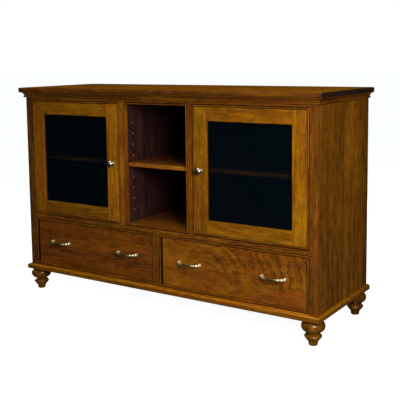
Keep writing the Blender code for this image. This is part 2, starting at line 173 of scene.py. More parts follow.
def wood(name, tone, axes, seed, plank=None, figure=0.0, gloss=0.36, contrast=1.0, coat=0.10, shade=1.0,
         red=0.0, ring_width=9 * MM, specular=0.16):
    """Stained cherry. axes names the board's directions along the grain, across it and through it.

    The rings are cones round a pith just below the face, so a flat board shows pointed arches. plank is
    the width of the boards that a wide panel is glued up from, figure is how dark the feathers of crotch
    grain are, shade scales the colour and red is the share of red stain over the whole board.
    """
    light, dark, stain = (Vector(colour) * shade for colour in TONES[tone])
    light, dark, stain = tuple(light.lerp(stain, red)), tuple(dark), tuple(stain)
    n = Nodes(name)
    parts = n.add("SeparateXYZ", {0: n.add("TexCoord").outputs["Object"]})
    length, width, through = (parts.outputs["XYZ".index(letter)] for letter in axes)
    shift, across = n.math("MULTIPLY", seed, 1.37), width
    if plank:
        first_joint = plank * (seed % 1 + 0.31)
        index = n.math("FLOOR", n.math("DIVIDE", n.math("ADD", width, first_joint), plank))
        draw = {"W": n.math("ADD", index, seed * 3.1)}
        chance = n.add("TexWhiteNoise", draw, noise_dimensions="1D").outputs[0]
        shift = n.math("MULTIPLY_ADD", chance, 5.3, shift)
        across = n.math("MULTIPLY_ADD", chance, 0.19, width)
    along = n.math("ADD", length, shift)
    point = n.add("CombineXYZ", {0: along, 1: across, 2: through}).outputs[0]

    sway = n.remap(n.noise(n.stretch(point, 2.2, 9.0, 9.0), 1.0, detail=2.0), 0, 1, -1.6, 1.6)
    off_pith = n.math("ADD", across, 0.021 * math.sin(7.3 * seed + 1.0))
    depth = n.math("ADD", through, 0.022)
    radius = n.distance(off_pith, depth)
    cone = n.math("MULTIPLY_ADD", along, 0.05, radius)
    ring = n.math("FRACT", n.math("MULTIPLY_ADD", cone, 1 / ring_width, sway))
    late_wood = n.math("MULTIPLY", n.math("POWER", ring, 2.4), n.remap(ring, 0.9, 1.0, 1.0, 0.0))
    where = n.remap(n.noise(n.stretch(point, 1.8, 14.0, 14.0), 1.0, detail=2.0), 0.40, 0.60, 0.15, 0.95)
    streak = n.noise(n.stretch(point, 6.0, 95.0, 95.0), 1.0, detail=5.0, roughness=0.7)
    broad = n.noise(n.stretch(point, 2.4, 30.0, 30.0), 1.0, detail=2.0)
    pores = n.noise(n.stretch(point, 55.0, 1300.0, 1300.0), 1.0, detail=1.0)
    patch = n.noise(n.stretch(point, 4.5, 13.0, 13.0), 1.0, detail=3.0, distortion=0.5)
    mottle = n.noise(n.stretch(point, 26.0, 60.0, 60.0), 1.0, detail=4.0, roughness=0.6, distortion=0.6)

    body = n.blend(n.remap(patch, 0.40, 0.60, 0, 1), light, stain)
    lines = n.math("ADD", n.math("MULTIPLY", late_wood, where), n.remap(streak, 0.42, 0.62, 0.0, 0.50))
    lines = n.math("ADD", lines, n.remap(broad, 0.45, 0.58, 0.0, 0.50))
    if figure:
        arcs = feathers(n, length, width, through)
        lines = n.math("MULTIPLY_ADD", arcs, figure, n.math("MULTIPLY", lines, 0.55))
    colour = n.blend(n.math("MULTIPLY", lines, contrast, clamp=True), body, dark)
    colour = n.blend(n.remap(pores, 0.64, 0.74, 0.0, 0.35), colour, dark)
    tint = n.remap(mottle, 0.38, 0.62, 0.76, 1.26)
    if plank:
        tint = n.math("MULTIPLY", tint, n.remap(chance, 0, 1, 0.80, 1.16))
    colour = n.add("VectorMath", {0: colour, "Scale": tint}, operation="SCALE").outputs[0]
    n.set(Base_Color=colour, Roughness=n.remap(streak, 0.25, 0.75, gloss - 0.05, gloss + 0.08),
          Specular_IOR_Level=specular, Coat_Weight=coat, Coat_Roughness=0.18, Coat_IOR=1.35)
    grain = n.math("MULTIPLY_ADD", streak, 0.7, n.math("MULTIPLY", pores, 0.3))
    n.set(Normal=n.add("Bump", {"Height": grain, "Strength": 0.10, "Distance": 0.3 * MM}).outputs[0])
    return n.material


def end_grain(name, tone, axes, seed):
    """The end of a board, which soaks up stain: dark, with the rings' arcs across it."""
    light, dark = TONES[tone][:2]
    n = Nodes(name)
    parts = n.add("SeparateXYZ", {0: n.add("TexCoord").outputs["Object"]})
    across, through = (parts.outputs["XYZ".index(letter)] for letter in axes)
    off_pith = n.math("PINGPONG", n.math("ADD", across, seed), 0.06)
    depth = n.math("ADD", through, 0.045)
    radius = n.distance(off_pith, depth)
    rings = n.math("FRACT", n.math("DIVIDE", radius, 3.5 * MM))
    speckle = n.noise(n.add("TexCoord").outputs["Object"], 900.0)
    share = n.math("MULTIPLY_ADD", speckle, 0.4, n.math("MULTIPLY", rings, 0.6))
    n.set(Base_Color=n.blend(share, light, dark), Roughness=n.remap(speckle, 0.3, 0.7, 0.5, 0.65),
          Specular_IOR_Level=0.12)
    return n.material


def quirk_shadow(name):
    """Painted shade for the narrow grooves beside the beads: near-black, standing in for the shadow in them.
    """
    n = Nodes(name)
    point = n.add("TexCoord").outputs["Object"]
    # A fine speckle in the painted shade.
    shade_speckle = n.noise(point, 240.0)
    n.set(Base_Color=n.blend(shade_speckle, (0.004, 0.0012, 0.0008), (0.011, 0.0032, 0.0018)),
          Roughness=n.remap(shade_speckle, 0.3, 0.7, 0.55, 0.75), Specular_IOR_Level=0.05)
    return n.material


def smoked_glass(name):
    """Dark glass: part of what is behind it shows through, by alpha."""
    n = Nodes(name)
    point = n.add("TexCoord").outputs["Object"]
    wipe = n.noise(n.stretch(point, 3.0, 3.0, 9.0), 1.0)
    n.set(Base_Color=n.blend(wipe, (0.0008, 0.0034, 0.0050), (0.0014, 0.0046, 0.0066)),
          Roughness=n.remap(wipe, 0.3, 0.7, 0.04, 0.08), Specular_IOR_Level=0.35, Alpha=0.60)
    return n.material


def satin_nickel(name, least_rough=0.24):
    """Brushed nickel plate. least_rough is the roughness of its smoothest strokes."""
    n = Nodes(name)
    point = n.add("TexCoord").outputs["Object"]
    cloud = n.noise(point, 60.0)
    brushed = n.noise(n.stretch(point, 900.0, 120.0, 900.0), 1.0, detail=2.0)
    n.set(Base_Color=n.blend(cloud, (0.620, 0.560, 0.390), (0.740, 0.690, 0.530)), Metallic=1.0,
          Roughness=n.remap(brushed, 0.3, 0.7, least_rough, least_rough + 0.12))
    n.set(Normal=n.add("Bump", {"Height": brushed, "Strength": 0.05, "Distance": 0.05 * MM}).outputs[0])
    return n.material


def pull_metal(name):
    """Nickel painted dark olive in the middle of the bar, as painted shade for a dark reflection, and painted
    bright towards its ends as a painted highlight.
    """
    n = Nodes(name)
    point = n.add("TexCoord").outputs["Object"]
    from_middle = n.math("ABSOLUTE", n.add("SeparateXYZ", {0: point}).outputs["X"])
    highlight_reach = n.math("MULTIPLY_ADD", n.noise(point, 180.0), 0.010, from_middle)
    # The bright ends are a painted highlight; the dark olive middle is painted shade for a dark reflection.
    bright = n.remap(highlight_reach, 0.38 * PULL_HALF_SPACING, 0.74 * PULL_HALF_SPACING, 0, 1)
    cloud = n.noise(point, 60.0)
    painted_highlight = n.blend(cloud, (0.820, 0.700, 0.400), (0.900, 0.800, 0.510))
    dark = n.blend(cloud, (0.120, 0.095, 0.030), (0.170, 0.140, 0.055))
    n.set(Base_Color=n.blend(bright, dark, painted_highlight), Metallic=0.84,
          Roughness=n.remap(cloud, 0.3, 0.7, 0.27, 0.36))
    return n.material


def dark_steel(name):
    """Oiled steel, for the hinge pins."""
    n = Nodes(name)
    cloud = n.noise(n.add("TexCoord").outputs["Object"], 400.0)
    n.set(Base_Color=n.blend(cloud, (0.030, 0.028, 0.026), (0.055, 0.050, 0.046)), Metallic=1.0,
          Roughness=n.remap(cloud, 0.3, 0.7, 0.35, 0.5))
    return n.material


NICKEL = satin_nickel("satin_nickel")
KNOB_METAL = satin_nickel("knob_metal", 0.19)
DULL_NICKEL = satin_nickel("dull_nickel", 0.60)
PULL_METAL = pull_metal("pull_metal")
DARK_STEEL = dark_steel("dark_steel")
QUIRK = quirk_shadow("quirk_shadow")
GLASS = smoked_glass("smoked_glass")
# Every wood material has a seed of its own, drawn from SEEDS in the order of making unless it is named here.
BACK_OUTSIDE_SEED = 3.3
BASE_EDGE_SEEDS = {"front": 10.1, "left": 9.1, "right": 10.1}
SEEDS = iter(0.37 + 1.618 * count for count in range(200))


# ---- Mesh helpers ----
def finish(piece, body, materials, replaces=()):
    """Gives a piece its materials and its body, and hides the CAD nodes that it stands for."""
    for material in materials:
        piece.data.materials.append(material)
    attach(piece, body)
    if replaces:
        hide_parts(*replaces)
    return piece


def new_object(name, mesh, place=(0, 0, 0)):
    """Turns a finished bmesh into an object of the scene."""
    data = bpy.data.meshes.new(name)
    mesh.to_mesh(data)
    mesh.free()
    piece = bpy.data.objects.new(name, data)
    piece.location = place
    bpy.context.scene.collection.objects.link(piece)
    return piece


def smooth(piece, angle=35):
    """Smooth shading, with sharp edges where faces meet at more than the angle."""
    piece.data.shade_smooth()
    piece.data.set_sharp_from_angle(angle=math.radians(angle))
    weighted = piece.modifiers.new("even_normals", "WEIGHTED_NORMAL")
    weighted.keep_sharp = True
    weighted.weight = 80
    return piece


def board_object(name, low, high, radius=0.5 * MM, segments=3):
    """A board between two corners with rounded edges, its origin at its middle."""
    low, high = Vector(low), Vector(high)
    mesh = bmesh.new()
    bmesh.ops.create_cube(mesh, size=1, matrix=Matrix.Diagonal((*(high - low), 1)))
    bmesh.ops.bevel(mesh, geom=mesh.edges[:], offset=radius, segments=segments, profile=0.5, affect="EDGES")
    return smooth(new_object(name, mesh, (low + high) / 2), angle=60)


def grown_box(node):
    """A CAD node's box, grown by CLOSE_UP on every side."""
    low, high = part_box(node)
    edge = Vector((CLOSE_UP,) * 3)
    return low - edge, high + edge


def board(node, body, slot, tone, axes, radius=0.5 * MM, box=None, segments=3, **wood_options):
    """A finer board in a CAD board's place."""
    low, high = box or grown_box(node)
    piece = board_object(node + "_wood", low, high, radius, segments)
    material = wood(node + "_wood", tone, axes, next(SEEDS), **wood_options)
    return finish(piece, body, [material], [node])


def turned(name, profile, place, sides=72, axis_turn=None):
    """A lathe shape from (radius, height) pairs that run from its top to its bottom on the axis."""
    mesh = bmesh.new()
    rings = []
    for radius, height in profile:
        if radius < 1e-6:
            rings.append([mesh.verts.new((0, 0, height))])
            continue
        circle = [2 * math.pi * k / sides for k in range(sides)]
        rings.append([mesh.verts.new((radius * math.cos(a), radius * math.sin(a), height)) for a in circle])
    for upper, lower in zip(rings, rings[1:]):
        for k in range(sides):
            corners = [upper[k % len(upper)], lower[k % len(lower)],
                       lower[(k + 1) % len(lower)], upper[(k + 1) % len(upper)]]
            mesh.faces.new(list(dict.fromkeys(corners)))
    if axis_turn:
        bmesh.ops.transform(mesh, matrix=axis_turn, verts=mesh.verts[:])
    return smooth(new_object(name, mesh, place), angle=40)


def arc(centre_r, centre_z, half_r, half_z, start, end, steps):
    """Points (radius, height) along part of an ellipse, with angles in degrees from straight outward."""
    angles = [math.radians(start + (end - start) * k / steps) for k in range(steps + 1)]
    return [(centre_r + half_r * math.cos(a), centre_z + half_z * math.sin(a)) for a in angles]


def moulding(name, profile, run, outward, mitres):
    """A length of moulding. profile is a closed outline of (out from the case, height); run is its two ends
    on the case's face; mitres says for each end whether it is cut at 45 degrees for an outside corner."""
    start, end = Vector(run[0]), Vector(run[1])
    outward = Vector(outward)
    direction = (end - start).normalized()
    middle = (start + end) / 2
    mesh = bmesh.new()
    loops = []
    for place, mitre, sign in ((start, mitres[0], -1), (end, mitres[1], 1)):
        away = outward + direction * (sign if mitre else 0)
        level = place - middle - Vector((0, 0, middle.z))
        loops.append([mesh.verts.new(level + away * out + Vector((0, 0, height))) for out, height in profile])
    count = len(profile)
    for k in range(count):
        following = (k + 1) % count
        mesh.faces.new((loops[0][k], loops[0][following], loops[1][following], loops[1][k]))
    mesh.faces.new(list(reversed(loops[0])))
    mesh.faces.new(loops[1])
    bmesh.ops.recalc_face_normals(mesh, faces=mesh.faces[:])
    return smooth(new_object(name, mesh, middle), angle=38)


# ---- Case ----
def face_with(piece, material, direction, least=0.6):
    """Gives another material to the faces that look in a direction, down to a cosine of least."""
    piece.data.materials.append(material)
    index = len(piece.data.materials) - 1
    for face in piece.data.polygons:
        if face.normal.dot(Vector(direction)) > least:
            face.material_index = index


def make_top():
    """The top board, with painted shade on its rounded front edge (a darker copy of the wood) and its end
    grain.
    """
    top = board("top_panel", "cabinet", "cherry_case", "top", "XYZ", radius=5.0 * MM, segments=6,
                box=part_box("top_panel"), plank=0.121, contrast=0.85, coat=0.0, gloss=0.50, specular=0.02)
    # The front-facing faces get a darker copy of the wood: painted shade.
    edge = wood("top_edge_painted_shade", "frame", "XZY", next(SEEDS), contrast=0.9, shade=0.66, coat=0.0)
    face_with(top, edge, (0, -1, 0), least=0.3)
    ends = end_grain("top_end_grain", "end_grain", "YZ", 0.4)
    face_with(top, ends, (1, 0, 0), least=0.3)
    face_with(top, ends, (-1, 0, 0), least=0.3)


def make_case():
    """Sides, deck, partition between the drawers, back and shelves."""
    # The sides' inner faces take the dark 'inside' tone: a darker interior stain that is partly painted
    # shade.
    inner_stain_and_shade = wood("side_inner_stain_and_shade", "inside", "ZYX", next(SEEDS), plank=0.12)
    for node, inward in (("side_left", 1), ("side_right", -1)):
        side = board(node, "cabinet", "cherry_case", "case", "ZYX", radius=0.3 * MM, plank=0.093,
                     contrast=0.9, shade=1.16)
        face_with(side, inner_stain_and_shade, (inward, 0, 0))
    board("mid_deck", "cabinet", "cherry_interior", "shelf", "XYZ", plank=0.14, shade=1.25, red=0.6)
    # The partition between the drawers takes the same tone, partly painted shade.
    board("drawer_partition", "cabinet", "cherry_interior", "inside", "YZX")
    # The back's inner face is near-black: painted shade; the outer face below gets plain stained wood.
    back = board("back_panel", "cabinet", "stained_back", "back", "XZY", coat=0.0, gloss=0.6)
    outside = wood("back_outside", "back_outside", "XZY", BACK_OUTSIDE_SEED, plank=0.24, coat=0.0,
                   gloss=0.6, specular=0.05)
    face_with(back, outside, (0, 1, 0))
    # Each shelf's front face gets a brighter copy of the shelf wood: painted light.
    for side, front_painted_light in (("left", 2.8), ("centre", 1.9), ("right", 3.4)):
        shelf = board(f"shelf_{side}", "cabinet", "cherry_interior", "shelf", "XYZ", radius=1.2 * MM,
                      shade=1.1, red=0.5)
        front = wood(f"shelf_{side}_front", "shelf", "XZY", next(SEEDS), contrast=0.6, shade=front_painted_light)
        face_with(shelf, front, (0, -1, 0))


CROWN_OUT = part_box("crown_right")[1].x - CASE_X


def crown_profile():
    """Back edge, bead with a quirk above it, cove, and a fillet under the top board."""
    low, high = CROWN_LOW_Z, TOP_LOW.z
    bead = arc(4.0 * MM, low + 4.3 * MM, 4.5 * MM, 4.3 * MM, -80, 80, 9)
    cove = [(7.0 * MM + 13.5 * MM * (1 - math.cos(a)), low + 11.0 * MM + 10.6 * MM * math.sin(a))
            for a in (math.radians(90) * k / 10 for k in range(11))]
    return ([(0, low)] + bead + [(4.6 * MM, low + 9.0 * MM), (4.6 * MM, low + 10.2 * MM),
                                 (7.0 * MM, low + 10.4 * MM)] + cove
            + [(CROWN_OUT, low + 21.7 * MM), (CROWN_OUT, high), (0, high)])


def base_profile():
    """A bullnose: rounded lower and upper edges, and a top that falls slightly from the case."""
    low, high = BASE_LOW.z, BASE_HIGH.z
    out = BASE_HIGH.x - CASE_X
    under = arc(out - 5.0 * MM, low + 5.0 * MM, 5.0 * MM, 5.0 * MM, -90, 0, 9)
    shoulder = arc(out - 6.0 * MM, high - 6.4 * MM, 6.0 * MM, 5.8 * MM, 0, 84, 10)
    return [(-6 * MM, low)] + under + shoulder + [(2.0 * MM, high), (-6 * MM, high)]


def make_mouldings():
    """Crown and base mouldings on the front and the two sides, and the flat board inside the base's."""
    front, back = FACE_Y, BACK_Y
    runs = {"front": ((-CASE_X, front, 0), (CASE_X, front, 0), (0, -1, 0), (True, True), "XZY"),
            "left": ((-CASE_X, back, 0), (-CASE_X, front, 0), (-1, 0, 0), (False, True), "YZX"),
            "right": ((CASE_X, front, 0), (CASE_X, back, 0), (1, 0, 0), (True, False), "YZX")}
    for side, (start, end, outward, mitres, axes) in runs.items():
        crown = moulding(f"crown_{side}_wood", crown_profile(), (start, end), outward, mitres)
        stained = wood(f"crown_{side}", "frame", axes, next(SEEDS), contrast=0.85, shade=0.85)
        finish(crown, "cabinet", [stained], [f"crown_{side}"])
        edge = moulding(f"base_{side}_wood", base_profile(), (start, end), outward, mitres)
        polished = wood(f"base_{side}", "case", axes, next(SEEDS), contrast=0.6, gloss=0.26, coat=0.8,
                        shade=1.20)
        finish(edge, "cabinet", [polished], ["base_board"])
        # The upward-facing faces of the bullnose get a lighter copy of the wood: a painted highlight.
        painted_highlight = wood(f"base_{side}_edge", "door", axes, BASE_EDGE_SEEDS[side], contrast=0.5, gloss=0.26,
                      coat=0.8, shade=1.05 if side == "right" else 1.35)
        face_with(edge, painted_highlight, (0, 0, 1), least=0.45)
    inset = 6 * MM
    core = board_object("base_board_wood", (-CASE_X + inset, FACE_Y + inset, BASE_LOW.z),
                        (CASE_X - inset, BACK_Y, BASE_HIGH.z), 0.3 * MM)
    finish(core, "cabinet", [wood("base_board", "case", "XYZ", next(SEEDS), plank=0.13)],
           ["base_board"])


FRAME_SHADES = {"stile_left": 0.60, "stile_right": 1.04, "stile_upper_left": 1.65,
                "stile_upper_right": 1.14, "rail_bottom": 2.1}
FRAME_REDS = {"stile_right": 0.5, "stile_upper_right": 0.4}


def make_frame_flats():
    """The flat parts of the face frame, between the grooves beside the beads."""
    b = BEAD_WIDTH
    top_z, bottom_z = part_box("rail_top")[1].z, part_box("rail_bottom")[0].z
    upper_low, upper_high = MIDDLE_HIGH_Z - b, RAIL_TOP_LOW + b
    lower_low, lower_high = RAIL_BOTTOM_TOP - b, MIDDLE_LOW_Z + b
    reach = OPENING_X + b
    flats = {
        "stile_left": ((-CASE_X, bottom_z), (-reach, top_z), "ZXY"),
        "stile_right": ((reach, bottom_z), (CASE_X, top_z), "ZXY"),
        "rail_top": ((-reach, RAIL_TOP_LOW + b), (reach, top_z), "XZY"),
        "rail_middle": ((-reach, MIDDLE_LOW_Z + b), (reach, MIDDLE_HIGH_Z - b), "XZY"),
        "rail_bottom": ((-reach, bottom_z), (reach, RAIL_BOTTOM_TOP - b), "XZY"),
        "stile_upper_left": ((-DOOR_SIDE_X + b, upper_low), (-CUBBY_X - b, upper_high), "ZXY"),
        "stile_upper_right": ((CUBBY_X + b, upper_low), (DOOR_SIDE_X - b, upper_high), "ZXY"),
        "stile_drawer": ((-DRAWER_STILE_X + b, lower_low), (DRAWER_STILE_X - b, lower_high), "ZXY"),
    }
    for node, ((x0, z0), (x1, z1), axes) in flats.items():
        board(node, "cabinet", "cherry_frame", "frame", axes, radius=0.35 * MM,
              box=((x0, FACE_Y, z0), (x1, FRAME_BACK_Y, z1)), contrast=0.85,
              shade=FRAME_SHADES.get(node, 1.0), red=FRAME_REDS.get(node, 0.0))


def bead_ring(name, x0, z0, x1, z1, paint_reveal_shade=False):
    """The bead round an opening, mitred at the corners, with the groove outside it given painted shade
    (QUIRK). The last argument is for a drawer's opening, whose inner faces at the top and the left get the
    same painted shade."""
    r = BEAD_DIAMETER / 2
    depth = FRAME_BACK_Y - FACE_Y
    outline = [(0, depth)] + [(r - r * math.cos(a), r - r * math.sin(a))
                              for a in (math.radians(180) * k / 10 for k in range(11))]
    outline += [(BEAD_DIAMETER, QUIRK_DEPTH), (BEAD_WIDTH, QUIRK_DEPTH), (BEAD_WIDTH, depth)]
    middle = Vector(((x0 + x1) / 2, FACE_Y, (z0 + z1) / 2))
    mesh = bmesh.new()
    loops = []
    for x, z, sx, sz in ((x0, z0, -1, -1), (x1, z0, 1, -1), (x1, z1, 1, 1), (x0, z1, -1, 1)):
        loops.append([mesh.verts.new((x + sx * out - middle.x, back, z + sz * out - middle.z))
                      for out, back in outline])
    shade_from = len(outline) - 4
    for corner in range(4):
        near, far = loops[corner], loops[(corner + 1) % 4]
        for k in range(len(outline)):
            following = (k + 1) % len(outline)
            face = mesh.faces.new((near[k], near[following], far[following], far[k]))
            upright = corner in (1, 3)
            # Groove faces, and for a drawer the opening's top and left inner faces, take QUIRK: painted
            # shade.
            dark = shade_from <= k < len(outline) - 1 or (paint_reveal_shade and k == 0 and corner in (2, 3))
            face.material_index = 2 if dark else (1 if upright else 0)
    bmesh.ops.recalc_face_normals(mesh, faces=mesh.faces[:])
    ring = smooth(new_object(name, mesh, middle), angle=38)
    across = wood(name + "_rails", "frame", "XZY", next(SEEDS), contrast=0.6)
    upright = wood(name + "_stiles", "frame", "ZXY", next(SEEDS), contrast=0.6)
    return finish(ring, "cabinet", [across, upright, QUIRK])


def make_beads():
    """Beads round the cubby, the doors and the drawers."""
    bead_ring("bead_cubby", -CUBBY_X, MIDDLE_HIGH_Z, CUBBY_X, RAIL_TOP_LOW)
    bead_ring("bead_door_left", -OPENING_X, MIDDLE_HIGH_Z, -DOOR_SIDE_X, RAIL_TOP_LOW)
    bead_ring("bead_door_right", DOOR_SIDE_X, MIDDLE_HIGH_Z, OPENING_X, RAIL_TOP_LOW)
    bead_ring("bead_drawer_left", -OPENING_X, RAIL_BOTTOM_TOP, -DRAWER_STILE_X, MIDDLE_LOW_Z, True)
    bead_ring("bead_drawer_right", DRAWER_STILE_X, RAIL_BOTTOM_TOP, OPENING_X, MIDDLE_LOW_Z, True)


ACROSS = Matrix.Rotation(math.radians(90), 4, "Y")
PIN_HOLE_RADIUS = 2.6 * MM
PIN_HOLE_DEPTH = 9 * MM
PIN_SPACING = 44 * MM
PIN_COLUMNS = (55 * MM, 380 * MM)       # behind the face frame's front
SHELF_PIN_LENGTH = 9 * MM
SHELF_PIN_RADIUS = 2.4 * MM
SLEEVE_BORE = 2.4 * MM
SLEEVE_RIM = 3.5 * MM
SLEEVE_RIM_DEPTH = 0.5 * MM


def pin_rows():
    """Heights of the shelf-pin holes: the row that carries the shelves, and rows above and below it."""
    shelf_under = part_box("shelf_centre")[0].z
    return [shelf_under - 3.0 * MM + PIN_SPACING * k for k in range(-4, 5)]


def make_partitions():
    """Partitions drilled from both sides for shelf pins."""
    for node in ("partition_left", "partition_right"):
        # The partitions take the dark 'inside' tone, partly painted shade.
        piece = board(node, "cabinet", "cherry_interior", "inside", "ZYX", plank=0.15, shade=0.82)
        low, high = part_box(node)
        mesh = bmesh.new()
        for face_x, inward in ((low.x, 1), (high.x, -1)):
            for back in PIN_COLUMNS:
                for z in pin_rows():
                    middle = Vector((face_x + inward * (PIN_HOLE_DEPTH / 2 - 1 * MM), FACE_Y + back, z))
                    place = Matrix.Translation(middle - piece.location) @ ACROSS
                    bmesh.ops.create_cone(mesh, cap_ends=True, segments=20, radius1=PIN_HOLE_RADIUS,
                                          radius2=PIN_HOLE_RADIUS, depth=PIN_HOLE_DEPTH - 2 * MM,
                                          matrix=place)
        drill = new_object(node + "_drill", mesh, piece.location)
        cut = piece.modifiers.new("pin_holes", "BOOLEAN")
        cut.operation, cut.solver, cut.object = "DIFFERENCE", "EXACT", drill
        piece.modifiers.move(1, 0)
        bpy.context.view_layer.update()
        evaluated = piece.evaluated_get(bpy.context.evaluated_depsgraph_get())
        cut_mesh = bpy.data.meshes.new_from_object(evaluated)
        piece.modifiers.clear()
        piece.data = cut_mesh
        bpy.data.objects.remove(drill, do_unlink=True)


def annulus(mesh, inner, outer, depth, place):
    """A short tube with flat ends, made about its own axis and then moved to its place."""
    sides = 28
    circle = [2 * math.pi * k / sides for k in range(sides)]
    loops = []
    for radius, height in ((inner, 0), (outer, 0), (outer, depth), (inner, depth)):
        loops.append([mesh.verts.new(place @ Vector((radius * math.cos(a), radius * math.sin(a), height)))
                      for a in circle])
    for first, second in zip(loops, loops[1:] + loops[:1]):
        for k in range(sides):
            t = (k + 1) % sides
            mesh.faces.new((first[k], first[t], second[t], second[k]))


def make_pin_sleeves():
    """Metal rings let into the mouths of the shelf-pin holes in the cubby."""
    for side, sign in (("left", -1), ("right", 1)):
        low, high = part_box(f"partition_{side}")
        wall = high.x if sign < 0 else low.x
        mesh = bmesh.new()
        for back in PIN_COLUMNS:
            for z in pin_rows():
                mouth = Vector((wall, FACE_Y + back, z))
                place = Matrix.Translation(mouth) @ Matrix.Rotation(math.radians(-90 * sign), 4, "Y")
                annulus(mesh, SLEEVE_BORE, SLEEVE_RIM, SLEEVE_RIM_DEPTH, place)
        bmesh.ops.recalc_face_normals(mesh, faces=mesh.faces[:])
        sleeves = smooth(new_object(f"pin_sleeves_{side}", mesh))
        finish(sleeves, "cabinet", [DULL_NICKEL])


def make_shelf_pins():
    """Small metal pins that the shelves rest on, one mesh for each shelf."""
    spans = {"left": (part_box("side_left")[1].x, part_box("partition_left")[0].x),
             "centre": (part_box("partition_left")[1].x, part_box("partition_right")[0].x),
             "right": (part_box("partition_right")[1].x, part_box("side_right")[0].x)}
    for side, walls in spans.items():
        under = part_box(f"shelf_{side}")[0].z
        mesh = bmesh.new()
        for wall, inward in zip(walls, (1, -1)):
            for back in PIN_COLUMNS:
                middle = Vector((wall + inward * SHELF_PIN_LENGTH / 2, FACE_Y + back, under - 2.6 * MM))
                place = Matrix.Translation(middle) @ ACROSS
                bmesh.ops.create_cone(mesh, cap_ends=True, segments=24, radius1=SHELF_PIN_RADIUS,
                                      radius2=SHELF_PIN_RADIUS, depth=SHELF_PIN_LENGTH, matrix=place)
        pins = new_object(f"shelf_pins_{side}", mesh)
        smooth(pins)
        finish(pins, "cabinet", [NICKEL])


def foot_profile(height):
    """Flattened ball, narrow neck, a lobe like two cones base to base, and a tapered toe."""
    ball = arc(20.0 * MM, 70.5 * MM, 22.8 * MM, 21.4 * MM, 84, -78, 26)
    ball[0] = (ball[0][0], height)
    neck = [(22.0 * MM, 48.9 * MM), (20.2 * MM, 48.2 * MM), (19.7 * MM, 47.2 * MM), (20.3 * MM, 46.2 * MM)]
    slope = [(23.6 * MM, 43.6 * MM), (26.6 * MM, 40.9 * MM), (29.2 * MM, 38.2 * MM), (31.0 * MM, 36.0 * MM)]
    brim = [(31.8 * MM, 34.6 * MM), (31.9 * MM, 33.4 * MM), (31.2 * MM, 31.8 * MM)]
    under = [(27.4 * MM, 26.4 * MM), (24.0 * MM, 22.2 * MM), (21.6 * MM, 19.4 * MM), (20.6 * MM, 18.2 * MM)]
    toe = [(18.4 * MM, 17.6 * MM), (17.9 * MM, 16.0 * MM), (16.0 * MM, 3.6 * MM), (15.3 * MM, 1.6 * MM),
           (13.8 * MM, 0.4 * MM), (12.0 * MM, 0), (0, 0)]
    return [(0, height)] + ball + neck + slope + brim + under + toe


def make_feet():
    """Four turned feet under the base board."""
    for node in ("foot_front_left", "foot_front_right", "foot_back_left", "foot_back_right"):
        low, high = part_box(node)
        middle = (low + high) / 2
        foot = turned(node + "_turned", foot_profile(BASE_LOW.z), (middle.x, middle.y, 0), sides=96)
        material = wood(node, "turned", "ZXY", next(SEEDS), gloss=0.24, coat=0.8, shade=0.88)
        finish(foot, "cabinet", [material], [node])


# ---- Doors ----
def knob_profile(reach):
    """Domed head, slim neck and a stepped collar, from the tip to the door's face."""
    head = arc(0, reach - 8.6 * MM, 14.3 * MM, 8.6 * MM, 90, -38, 20)
    head[0] = (0, reach)
    neck = [(8.6 * MM, reach - 15.4 * MM), (6.0 * MM, reach - 17.2 * MM), (5.0 * MM, reach - 19.4 * MM),
            (4.9 * MM, 5.6 * MM), (5.6 * MM, 4.6 * MM), (7.4 * MM, 3.8 * MM)]
    collar = [(9.0 * MM, 3.2 * MM), (9.5 * MM, 2.4 * MM), (9.5 * MM, 0.6 * MM), (9.2 * MM, 0), (0, 0)]
    return head + neck + collar


DOOR_SHADES = {"door_left_latch_stile": 1.28, "door_left_bottom_rail": 0.76, "door_right_latch_stile": 0.82,
               "door_right_bottom_rail": 0.93}


def make_doors():
    """Each door's two stiles, two rails, glass and knob."""
    for side in ("left", "right"):
        body = f"door_{side}"
        for part, axes in (("hinge_stile", "ZXY"), ("latch_stile", "ZXY"), ("top_rail", "XZY"),
                           ("bottom_rail", "XZY")):
            node = f"{body}_{part}"
            board(node, body, "cherry_door", "door", axes, radius=0.6 * MM, contrast=0.95,
                  ring_width=12 * MM, red=1.0 if node == "door_left_hinge_stile" else 0.0,
                  shade=DOOR_SHADES.get(node, 1.0))
        low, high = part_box(f"{body}_glass")
        glass = board_object(f"{body}_pane", low, high, 0.3 * MM, 2)
        finish(glass, body, [GLASS], [f"{body}_glass"])
        low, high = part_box(f"{body}_knob")
        outward = Matrix.Rotation(math.radians(90), 4, "X")
        place = ((low.x + high.x) / 2, FACE_Y, (low.z + high.z) / 2)
        knob = turned(f"{body}_knob_metal", knob_profile(FACE_Y - low.y), place, 64, outward)
        finish(knob, body, [KNOB_METAL], [f"{body}_knob"])


# ---- Drawers ----
def tube_along(mesh, points, radii, sides=20):
    """A closed tube through the points, with a radius for each."""
    rings = []
    for k, (point, radius) in enumerate(zip(points, radii)):
        ahead = (points[min(k + 1, len(points) - 1)] - points[max(k - 1, 0)]).normalized()
        level = Vector((0, 0, 1))
        sideways = ahead.cross(level).normalized()
        upward = sideways.cross(ahead).normalized()
        rings.append([mesh.verts.new(point + (sideways * math.cos(a) + upward * math.sin(a)) * radius)
                      for a in (2 * math.pi * s / sides for s in range(sides))])
    for first, second in zip(rings, rings[1:]):
        for s in range(sides):
            t = (s + 1) % sides
            mesh.faces.new((first[s], first[t], second[t], second[s]))
    mesh.faces.new(rings[0])
    mesh.faces.new(list(reversed(rings[-1])))


